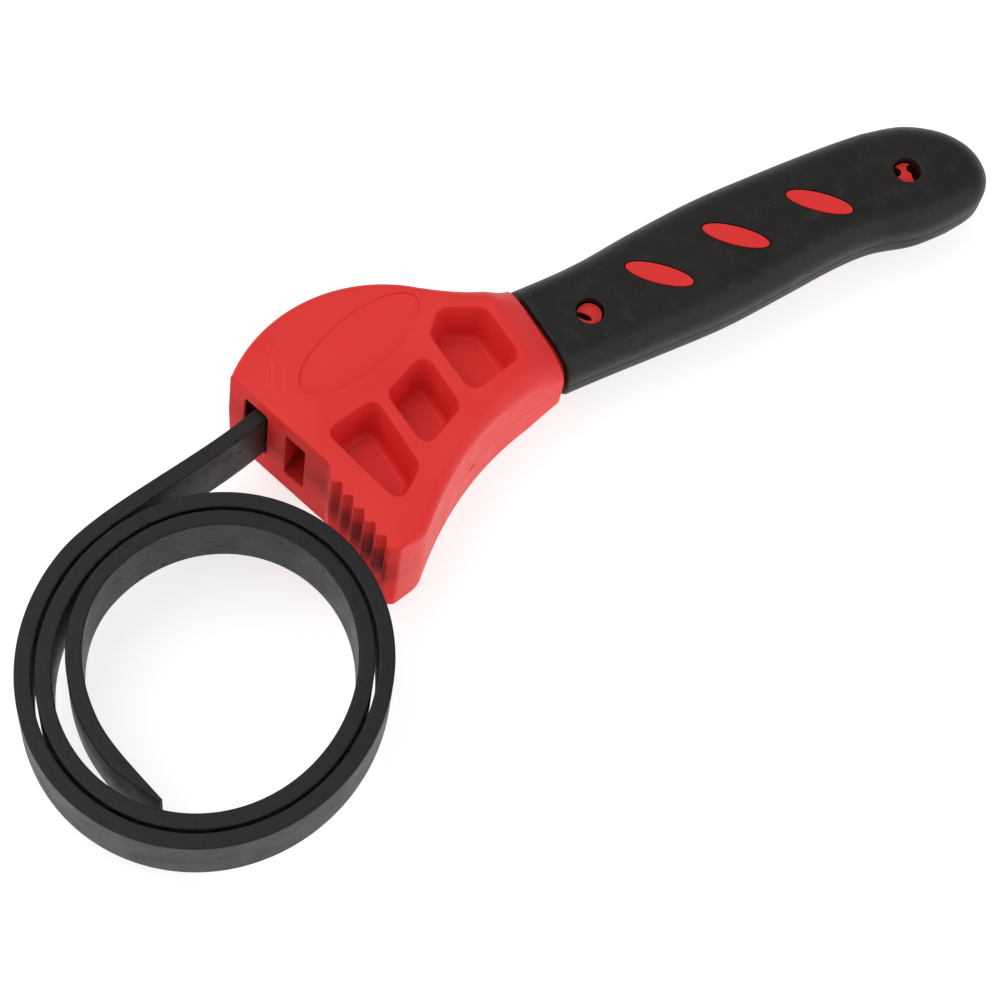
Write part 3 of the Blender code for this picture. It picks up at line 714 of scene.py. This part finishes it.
def pad(centre):
    """An oval land that fills its window in the grip, both faces, with a softly broken edge."""
    rings = []
    height = GRIP_HALF + PAD_RISE
    for side in (-1, 1):
        stack = []
        for inset, drop in quarter_round(4):
            outline = ellipse(flat(centre), PAD_HALF, PAD_TILT, 72, -PAD_EDGE * inset)
            stack.append(at_height(outline, PARTING_Z + side * (height - PAD_EDGE * drop)))
        rings += stack if side < 0 else stack[::-1]
    return loft('pad', rings)


def screw_size(node):
    """A screw's centre, head radius, lowest and highest points, from its CAD node."""
    low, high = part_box(node)
    centre = Vector(((low.x + high.x) / 2, (low.y + high.y) / 2))
    return centre, (high.x - low.x) / 2, low.z, high.z


def screw_seats():
    """Counterbores on the underside, each with a slightly rounded rim."""
    seats = []
    for node in SCREW_NODES:
        centre, head_radius = screw_size(node)[:2]
        radius = head_radius + SEAT_GAP
        rings = [at_height(circle(centre, radius + SEAT_RIM), -MM)]
        for inset, drop in quarter_round(4):
            rings.append(at_height(circle(centre, radius + SEAT_RIM * inset), SEAT_RIM * drop))
        rings.append(at_height(circle(centre, radius), SEAT_DEPTH))
        seats.append(loft('screw_seat', rings))
    return seats


def head_body():
    """The head in one solid, before it is split into its two shells."""
    outline, rounds = head_outline()
    body = rounded_slab('body', outline, rounds, PARTING_Z, 1.0, 7, HEAD_DRAFT)
    narrow_neck(body)
    chamber = cylinder('anchor_chamber', pin_centre, EYE_RADIUS + EYE_GAP, STRAP_SLOT[2], STRAP_SLOT[3])
    cutters = [face_recess('anchor_slot', STRAP_SLOT, STRAP_SLOT_DEPTH, STRAP_SLOT_RIM), chamber,
               pass_channel(), pass_mouth(), panel_recess(), gate_notch()]
    for corners in POCKETS:
        cutters.append(pocket_cutter('pocket_top', corners, 1))
        cutters.append(pocket_cutter('pocket_under', corners, -1))
    cutters += screw_seats() + floor_marks()
    for cutter in cutters:
        combine(body, cutter, 'DIFFERENCE')
    arrow = raised_line('arrow', [flat(p) for p in ARROW], ARROW_LINE, ARROW_RISE, HEAD_TOP)
    combine(body, arrow, 'UNION')
    return body


def half_space(name, low, high):
    reach = 0.4
    outline = [Vector((-reach, -reach)), Vector((reach, -reach)), Vector((reach, reach)),
               Vector((-reach, reach))]
    return prism(name, outline, low, high)


def build_shells():
    body = head_body()
    lower = copy_of(body, 'lower_shell_surface')
    upper = copy_of(body, 'upper_shell_surface')
    bpy.data.objects.remove(body, do_unlink=True)
    combine(lower, half_space('above', PARTING_Z, 3 * PARTING_Z), 'DIFFERENCE')
    combine(upper, half_space('below', -PARTING_Z, PARTING_Z), 'DIFFERENCE')
    for shell, node in ((lower, 'lower_shell'), (upper, 'upper_shell')):
        finish_surface(shell, looks['red_plastic'])
        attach(shell, 'wrench')
        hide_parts(node)


def build_core():
    """The shells' tongue inside the grip, with the oval lands that show through it."""
    core = handle_slab('handle_core_surface', GRIP_WALL, CORE_START_X, 6)
    for centre in PADS:
        combine(core, pad(centre), 'UNION')
    for cutter in hole_features():
        combine(core, cutter, 'DIFFERENCE')
    finish_surface(core, looks['red_plastic'])
    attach(core, 'wrench')
    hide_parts('upper_shell', 'lower_shell')


# -------------------------------- grip

def grip_hole(centre):
    """A straight hole through the grip whose two rims are rounded."""
    radius = GRIP_HOLE_RADIUS
    rim = GRIP_HOLE_RIM
    rings = []
    for side in (-1, 1):
        stack = [at_height(circle(centre, radius + rim, 64), PARTING_Z + side * (GRIP_HALF + MM))]
        for inset, drop in quarter_round(4):
            outline = circle(centre, radius + rim * inset, 64)
            stack.append(at_height(outline, PARTING_Z + side * (GRIP_HALF - rim * drop)))
        rings += stack if side < 0 else stack[::-1]
    return loft('grip_hole', rings)


def build_grip():
    """The rubber sleeve over the core, with its mouth, windows and holes."""
    sleeve = handle_slab('grip_surface', 0.0, GRIP_START_X, 14)
    rim = MOUTH_FAR - MOUTH_NEAR
    cut_plane(sleeve, MOUTH_NEAR.to_3d(), Vector((rim.y, -rim.x, 0)).normalized(), MOUTH_LIP)
    cavity = handle_slab('grip_cavity', GRIP_WALL - CAVITY_GAP, CAVITY_START_X, 6)
    combine(sleeve, cavity, 'DIFFERENCE')
    for centre in PADS:
        window = prism('pad_window', ellipse(flat(centre), PAD_HALF, PAD_TILT, 72, PAD_GAP), 0, HEAD_TOP)
        combine(sleeve, window, 'DIFFERENCE')
    for centre in GRIP_HOLES:
        combine(sleeve, grip_hole(flat(centre)), 'DIFFERENCE')
    finish_surface(sleeve, looks['grip_rubber'])
    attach(sleeve, 'wrench')
    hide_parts('grip_sleeve')


# -------------------------------- strap

def coil_point(angle):
    """The strap's centre line on its spiral, with the loose tail drifting inwards."""
    rise = min(max((angle - TAIL_START) / (TAIL_PEAK - TAIL_START), 0), 1)
    fall = max((angle - TAIL_PEAK) / (TAIL_RETURN - TAIL_PEAK), 0)
    drift = rise * rise * (3 - 2 * rise) - fall ** 3
    radius = COIL_RADIUS - COIL_PITCH * (angle - pi / 2) / (2 * pi)
    radius += COIL_OVAL * cos(2 * (angle - COIL_OVAL_ANGLE))
    radius -= TAIL_LIFT * drift
    return COIL_CENTRE + Vector((cos(angle), sin(angle))) * radius


def strap_line():
    """Fine points of the centre line from the pin to the tail, and distances from the head's face."""
    step = radians(0.5)
    joint = coil_point(COIL_START)
    tangent = (coil_point(COIL_START + step) - coil_point(COIL_START - step)).normalized()
    points = [pin_centre]
    points += bezier(STRAP_AXIS, STRAP_AXIS - FACE_IN * LEAD_HANDLES[0], joint - tangent * LEAD_HANDLES[1],
                     joint, 160)
    for i in range(int((COIL_END - COIL_START) / step) + 1):
        points.append(coil_point(COIL_START + step * i))
    distances = [-(STRAP_AXIS - pin_centre).length]
    for before, after in zip(points, points[1:]):
        distances.append(distances[-1] + (after - before).length)
    return points, distances


def strap_frame(distance):
    """The point on the centre line at a distance, and the direction there."""
    points, distances = line
    low = 0
    high = len(distances) - 1
    while high - low > 1:
        middle = (low + high) // 2
        if distances[middle] <= distance:
            low = middle
        else:
            high = middle
    share = (distance - distances[low]) / (distances[high] - distances[low])
    before = max(low - 1, 0)
    after = min(high + 1, len(points) - 1)
    if low == 0:
        before, after = 0, 1
    return points[low].lerp(points[high], share), (points[after] - points[before]).normalized()


def distance_of(place):
    """The distance along the centre line of its point nearest to a place."""
    points, distances = line
    nearest = min(range(len(points)), key=lambda i: (points[i] - place).length)
    return distances[nearest]


def strap_section():
    """The strap's section as (across, up) pairs, with rounded corners."""
    x = STRAP_THICKNESS / 2 - STRAP_CORNER
    y = STRAP_WIDTH / 2 - STRAP_CORNER
    centres = ((x, -y), (x, y), (-x, y), (-x, -y))
    section = []
    for k, (centre_x, centre_y) in enumerate(centres):
        for i in range(4):
            angle = -pi / 2 + k * pi / 2 + pi / 2 * i / 3
            section.append((centre_x + STRAP_CORNER * cos(angle), centre_y + STRAP_CORNER * sin(angle)))
        start_x, start_y = section[-1]
        next_x, next_y = centres[(k + 1) % 4]
        for i in range(1, STRAP_STEPS[k % 2]):
            share = i / STRAP_STEPS[k % 2]
            if k % 2 == 0:
                section.append((start_x, start_y + (next_y - start_y) * share))
            else:
                section.append((start_x + (next_x - start_x) * share, start_y))
    return section


def band(name, start, end):
    """A closed stretch of the strap between two distances, with coordinates for its material."""
    total = line[1][-1]
    half = STRAP_THICKNESS / 2
    steps = max(round((end - start) / STRAP_RING), 2)
    section = strap_section()
    mesh = bmesh.new()
    along_layer = mesh.verts.layers.float.new('along')
    across_layer = mesh.verts.layers.float.new('across')
    height_layer = mesh.verts.layers.float.new('height')
    rings = []
    for i in range(steps + 1):
        distance = start + (end - start) * i / steps
        point, along = strap_frame(distance)
        inwards = Vector((-along.y, along.x))
        full = TAIL_TIP + (STRAP_THICKNESS - TAIL_TIP) * min((total - distance) / TAIL_TAPER, 1)
        ring = []
        for x, up in section:
            across = half - (half - x) * full / STRAP_THICKNESS
            place = point + inwards * across
            vert = mesh.verts.new((place.x, place.y, STRAP_MID_Z + up))
            vert[along_layer] = distance
            vert[across_layer] = x
            vert[height_layer] = up
            ring.append(vert)
        rings.append(ring)
    skin_closed(mesh, rings)
    bmesh.ops.recalc_face_normals(mesh, faces=mesh.faces)
    piece = mesh_object(name, mesh)
    finish_surface(piece, looks['strap_rubber'], STRAP_CREASE)
    return piece


def build_root():
    """The strap's anchored end: a tongue in the slot and an eye on the pin."""
    root = band('strap_root_surface', line[1][0] + EYE_RADIUS - EYE_OVERLAP, ROOT_END)
    root.modifiers.clear()
    low = STRAP_MID_Z - STRAP_WIDTH / 2
    high = STRAP_MID_Z + STRAP_WIDTH / 2
    combine(root, cylinder('root_eye', pin_centre, EYE_RADIUS, low, high), 'UNION')
    combine(root, cylinder('root_bore', pin_centre, PIN_RADIUS + PIN_GAP, 0, HEAD_TOP), 'DIFFERENCE')
    finish_surface(root, looks['strap_rubber'], STRAP_CREASE)
    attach(root, 'strap_root')
    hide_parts('strap_root')


def build_strap():
    """Each stretch spans one hinge, from the middle of one CAD link to the middle of the next."""
    build_root()
    total = line[1][-1]
    hinges = []
    for joint in frame['joints']:
        if joint['parent'] != 'wrench':
            place = Vector(joint['pos_m'][:2])
            hinges.append((distance_of(place), joint['parent'], joint['child']))
    hinges.sort()
    start = ROOT_END
    for i, (distance, parent, child) in enumerate(hinges):
        last = i == len(hinges) - 1
        following = total if last else hinges[i + 1][0]
        if i == 0:
            blend_start = start
            blend_end = ROOT_BEND_END
        else:
            reach = min(distance - start, (following - distance) / 2, LINK_LENGTH / 2)
            blend_start = distance - reach
            blend_end = distance + reach
        end = (distance + following) / 2
        if child == 'coil':
            end = blend_end
        if last:
            end = total
        piece = band(f'strap_{child}_bend', start, end)
        edges = (strap_frame(place)[0].to_3d() for place in (blend_start, blend_end))
        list(edges)
        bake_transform(piece)
        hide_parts(node_of(child))
        start = end
        if child == 'coil':
            end = hinges[i + 1][0] - (hinges[i + 2][0] - hinges[i + 1][0]) / 2
            piece = band('strap_coil_surface', start, end)
            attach(piece, 'coil')
            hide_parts('strap_coil')
            start = end


def node_of(body):
    return frame['record']['behaviour']['bodies'][body][0]


# -------------------------------- screws

def build_screws():
    """Pan-head screws, heads down in their seats, each with a cross recess."""
    for node in SCREW_NODES:
        centre, radius, low, high = screw_size(node)
        seat = low + SCREW_HEAD_HEIGHT
        profile = [(radius * share, low + lift * MM) for share, lift in SCREW_CROWN]
        profile += [(radius, seat), (SCREW_SHANK_RADIUS, seat + 0.01 * MM),
                    (SCREW_SHANK_RADIUS, high - SCREW_TIP[0]), (SCREW_TIP[1], high)]
        screw = loft(node + '_surface', [at_height(circle(centre, size), z) for size, z in profile])
        for turn in (CROSS_TURN, CROSS_TURN + pi / 2):
            along = Vector((cos(turn), sin(turn)))
            across = Vector((-sin(turn), cos(turn)))
            rings = []
            for depth, length, width in CROSS_LEVELS:
                corners = ((-length, -width), (length, -width), (length, width), (-length, width))
                outline = [centre + along * x * MM + across * y * MM for x, y in corners]
                rings.append(at_height(outline, low + depth * MM))
            combine(screw, loft('cross_recess', rings), 'DIFFERENCE')
        finish_surface(screw, looks['steel'])
        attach(screw, 'wrench')
        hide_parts(node)


# -------------------------------- materials

class Look:
    """A small builder for one node material."""

    def __init__(self, name):
        self.material = bpy.data.materials.new(name)
        self.material.use_nodes = True
        self.nodes = self.material.node_tree.nodes
        self.links = self.material.node_tree.links
        self.surface = self.nodes['Principled BSDF']

    def add(self, kind, **settings):
        node = self.nodes.new(kind)
        for key, value in settings.items():
            setattr(node, key, value)
        return node

    def join(self, source, target):
        self.links.new(source, target)

    def place(self):
        return self.add('ShaderNodeTexCoord').outputs['Object']

    def noise(self, place, scale, detail=3.0, roughness=0.5):
        node = self.add('ShaderNodeTexNoise')
        node.inputs['Scale'].default_value = scale
        node.inputs['Detail'].default_value = detail
        node.inputs['Roughness'].default_value = roughness
        self.join(place, node.inputs['Vector'])
        return node.outputs['Fac']

    def feed(self, sockets, values):
        """Give each socket its value: a number, a colour or another node's output."""
        for socket, value in zip(sockets, values):
            if isinstance(value, (int, float)):
                socket.default_value = value
            elif isinstance(value, tuple):
                socket.default_value = (*value, 1.0)
            else:
                self.join(value, socket)

    def ramp(self, value, low, high, low_out=0.0, high_out=1.0):
        node = self.add('ShaderNodeMapRange', clamp=True)
        names = ('Value', 'From Min', 'From Max', 'To Min', 'To Max')
        self.feed([node.inputs[name] for name in names], (value, low, high, low_out, high_out))
        return node.outputs['Result']

    def maths(self, operation, first, second):
        node = self.add('ShaderNodeMath', operation=operation)
        self.feed(node.inputs, (first, second))
        return node.outputs['Value']

    def blend(self, share, first, second):
        node = self.add('ShaderNodeMix', data_type='RGBA')
        self.feed([socket for socket in node.inputs if socket.enabled], (share, first, second))
        return next(socket for socket in node.outputs if socket.enabled)

    def bump(self, height, distance, strength=1.0, under=None):
        node = self.add('ShaderNodeBump')
        node.inputs['Distance'].default_value = distance
        node.inputs['Strength'].default_value = strength
        self.join(height, node.inputs['Height'])
        if under is not None:
            self.join(under, node.inputs['Normal'])
        return node.outputs['Normal']

    def attribute(self, name):
        return self.add('ShaderNodeAttribute', attribute_name=name).outputs['Fac']

    def combine(self, x, y, z):
        node = self.add('ShaderNodeCombineXYZ')
        self.feed(node.inputs, (x, y, z))
        return node.outputs['Vector']

    def edges(self, width):
        """1 along edges, falling to 0 at about that width from them."""
        rounded = self.add('ShaderNodeBevel', samples=4)
        rounded.inputs['Radius'].default_value = width
        turn = self.add('ShaderNodeVectorMath', operation='DOT_PRODUCT')
        self.join(rounded.outputs['Normal'], turn.inputs[0])
        self.join(self.add('ShaderNodeNewGeometry').outputs['Normal'], turn.inputs[1])
        return self.ramp(turn.outputs['Value'], 0.90, 0.985, 1.0, 0.0)

    def paint_occlusion_shade(self, colour, deep, reach):
        """The colour turning to a deep one in narrow openings: painted shade, darker where ambient
        occlusion finds surfaces close by.
        """
        node = self.add('ShaderNodeAmbientOcclusion', samples=6)
        node.inputs['Distance'].default_value = reach
        return self.blend(self.ramp(node.outputs['AO'], 0.05, 0.5), deep, colour)

    def finish(self, colour, roughness, normal, shine=None):
        if shine is not None:
            self.surface.inputs['Specular IOR Level'].default_value = shine
        self.join(colour, self.surface.inputs['Base Color'])
        self.join(roughness, self.surface.inputs['Roughness'])
        self.join(normal, self.surface.inputs['Normal'])
        return self.material


def red_plastic():
    look = Look('red_plastic_moulded')
    place = look.place()
    broad = look.noise(place, 28, 2)
    cloud = look.noise(place, 190, 3)
    grain = look.noise(place, 2600, 2)
    colour = look.blend(look.ramp(broad, 0.35, 0.65), (0.76, 0.034, 0.032), (0.80, 0.043, 0.039))
    # Painted highlight: convex and concave edges lightened toward a pale red, varied by the cloud noise.
    painted_edge_highlight = look.maths('MULTIPLY', look.edges(0.26 * MM), look.ramp(cloud, 0.35, 0.6, 0.5, 1.0))
    colour = look.blend(look.maths('MULTIPLY', painted_edge_highlight, 0.75), colour, (0.90, 0.22, 0.19))
    # Painted shade: deep red-black in pockets, slots, teeth roots and the mouth gap, from ambient
    # occlusion within 9 mm.
    colour = look.paint_occlusion_shade(colour, (0.045, 0.0, 0.001), 9 * MM)
    facing = look.add('ShaderNodeVectorMath', operation='DOT_PRODUCT')
    look.join(look.add('ShaderNodeTexCoord').outputs['Normal'], facing.inputs[0])
    facing.inputs[1].default_value = (-FACE_IN).to_3d()
    jaw = look.ramp(facing.outputs['Value'], 0.25, 0.62)
    look.join(look.ramp(jaw, 0.0, 1.0, 0.17, 0.02), look.surface.inputs['Specular IOR Level'])
    roughness = look.ramp(cloud, 0.3, 0.7, 0.4, 0.5)
    normal = look.bump(grain, 0.00003, 0.35)
    normal = look.bump(broad, 0.0006, 0.12, normal)
    return look.finish(colour, roughness, normal)


def grip_rubber():
    look = Look('grip_rubber_moulded')
    place = look.place()
    broad = look.noise(place, 45, 4, 0.6)
    smudge = look.noise(place, 160, 5, 0.65)
    grain = look.noise(place, 3200, 2)
    speck = look.noise(place, 900, 1)
    colour = look.blend(look.ramp(broad, 0.35, 0.7), (0.0125, 0.0115, 0.0108), (0.018, 0.0165, 0.0155))
    dust = look.ramp(speck, 0.74, 0.8, 0.0, 0.45)
    colour = look.blend(look.ramp(smudge, 0.52, 0.72, 0.0, 0.45), colour, (0.034, 0.036, 0.040))
    colour = look.blend(dust, colour, (0.10, 0.095, 0.09))
    # Painted shade: near-black in the holes, the mouth gap and the pad windows, from ambient occlusion
    # within 3 mm.
    colour = look.paint_occlusion_shade(colour, (0.001, 0.001, 0.001), 3 * MM)
    roughness = look.ramp(smudge, 0.3, 0.7, 0.38, 0.54)
    normal = look.bump(grain, 0.00004, 0.4)
    normal = look.bump(smudge, 0.0002, 0.1, normal)
    return look.finish(colour, roughness, normal, 0.22)


def strap_rubber():
    look = Look('strap_rubber_extruded')
    along = look.attribute('along')
    across = look.attribute('across')
    height = look.attribute('height')
    stretched = look.combine(look.maths('MULTIPLY', along, 0.012), across, height)
    whole = look.combine(along, across, height)
    lines = look.noise(stretched, 1500, 3, 0.6)
    fine = look.noise(stretched, 4200, 1)
    smudge = look.noise(whole, 120, 5, 0.65)
    grain = look.noise(whole, 2800, 2)
    colour = look.blend(look.ramp(smudge, 0.35, 0.7), (0.0095, 0.0095, 0.0095), (0.0145, 0.014, 0.0135))
    colour = look.blend(look.ramp(lines, 0.62, 0.75, 0.0, 0.35), colour, (0.045, 0.044, 0.043))
    # Painted shade: small pits darkened to near black, most on the inner wall; their hollow is only a
    # bump.
    pits = look.ramp(look.noise(whole, 340, 1), 0.655, 0.69)
    inner = look.ramp(across, 0.5 * STRAP_THICKNESS - 0.2 * MM, 0.5 * STRAP_THICKNESS)
    pits = look.maths('MULTIPLY', pits, look.maths('ADD', look.maths('MULTIPLY', inner, 0.8), 0.2))
    colour = look.blend(pits, colour, (0.003, 0.003, 0.003))
    roughness = look.ramp(smudge, 0.3, 0.7, 0.42, 0.58)
    normal = look.bump(lines, 0.00012, 0.35)
    normal = look.bump(fine, 0.00005, 0.3, normal)
    normal = look.bump(grain, 0.00004, 0.3, normal)
    normal = look.bump(look.maths('MULTIPLY', pits, -1.0), 0.0005, 0.8, normal)
    return look.finish(colour, roughness, normal, 0.25)


def steel():
    look = Look('zinc_plated_steel')
    look.surface.inputs['Metallic'].default_value = 1.0
    place = look.place()
    cloud = look.noise(place, 400, 4, 0.6)
    grain = look.noise(place, 3500, 2)
    colour = look.blend(look.ramp(cloud, 0.35, 0.65), (0.50, 0.50, 0.51), (0.64, 0.64, 0.63))
    roughness = look.ramp(cloud, 0.3, 0.7, 0.25, 0.42)
    normal = look.bump(grain, 0.00002, 0.4)
    return look.finish(colour, roughness, normal)


# -------------------------------- studio

FLOOR_HALF = 3.0
FLOOR_DROP = 0.2 * MM
FLOOR_SHADES = ((0.60, 0.60, 0.60), (0.62, 0.62, 0.62))
FLOOR_GLOW = 0.68
WHITE = (1, 1, 1, 1)
WORLD_STRENGTHS = (0.42, 1.0)  # as a light, and as the camera sees it
LAMPS = (  # name, place, size and power
    ('overhead', (-0.35, 0.45, 1.0), 1.1, 6.5),
    ('front', (0.55, -0.9, 0.55), 0.9, 3.8),
    ('jaw_fill', (-0.85, -0.55, 0.4), 0.6, 1.6),
)
LENS = 95.04
SENSOR_WIDTH = 36
CAMERA_PLACE = Vector((-0.1953, -0.3051, 0.7074))
CAMERA_RIGHT = Vector((0.87126, -0.48152, 0.09500))
CAMERA_UP = Vector((0.40299, 0.81235, 0.42152))


def build_studio():
    """A pale floor, broad soft lights and the camera."""
    scene = bpy.context.scene
    floor_look = Look('pale_floor')
    shade = floor_look.noise(floor_look.place(), 3, 2)
    floor_look.join(floor_look.blend(shade, *FLOOR_SHADES), floor_look.surface.inputs['Base Color'])
    floor_look.surface.inputs['Roughness'].default_value = 0.9
    floor_look.surface.inputs['Emission Color'].default_value = WHITE
    floor_look.surface.inputs['Emission Strength'].default_value = FLOOR_GLOW
    mesh = bmesh.new()
    bmesh.ops.create_grid(mesh, x_segments=2, y_segments=2, size=FLOOR_HALF)
    floor = mesh_object('floor', mesh)
    floor.location.z = -FLOOR_DROP
    floor.data.materials.append(floor_look.material)

    world = bpy.data.worlds.new('studio')
    world.use_nodes = True
    background = world.node_tree.nodes['Background']
    background.inputs['Color'].default_value = WHITE
    path = world.node_tree.nodes.new('ShaderNodeLightPath')
    level = world.node_tree.nodes.new('ShaderNodeMapRange')
    for name, strength in zip(('To Min', 'To Max'), WORLD_STRENGTHS):
        level.inputs[name].default_value = strength
    world.node_tree.links.new(path.outputs['Is Camera Ray'], level.inputs['Value'])
    world.node_tree.links.new(level.outputs['Result'], background.inputs['Strength'])
    scene.world = world

    for name, place, size, power in LAMPS:
        lamp = bpy.data.lights.new(name, 'AREA')
        lamp.shape = 'SQUARE'
        lamp.size = size
        lamp.energy = power
        holder = bpy.data.objects.new(name, lamp)
        holder.location = place
        holder.rotation_euler = (-Vector(place)).to_track_quat('-Z', 'Y').to_euler()
        scene.collection.objects.link(holder)

    lens = bpy.data.cameras.new('camera')
    lens.lens = LENS
    lens.sensor_width = SENSOR_WIDTH
    camera = bpy.data.objects.new('camera', lens)
    pose = Matrix((CAMERA_RIGHT, CAMERA_UP, CAMERA_RIGHT.cross(CAMERA_UP))).transposed().to_4x4()
    pose.translation = CAMERA_PLACE
    camera.matrix_world = pose
    scene.collection.objects.link(camera)
    scene.camera = camera
    scene.view_settings.view_transform = 'Standard'


# -------------------------------- build

looks = {'red_plastic': red_plastic(), 'grip_rubber': grip_rubber(), 'strap_rubber': strap_rubber(),
         'steel': steel()}
swing = next(joint for joint in frame['joints'] if joint['name'] == 'strap_swing')
pin_centre = Vector(swing['pos_m'][:2])
line = strap_line()

build_shells()
build_core()
build_grip()
build_strap()
build_screws()
pin = frame['nodes']['strap_anchor_pin']
pin.data.materials.clear()
pin.data.materials.append(looks['steel'])
build_studio()
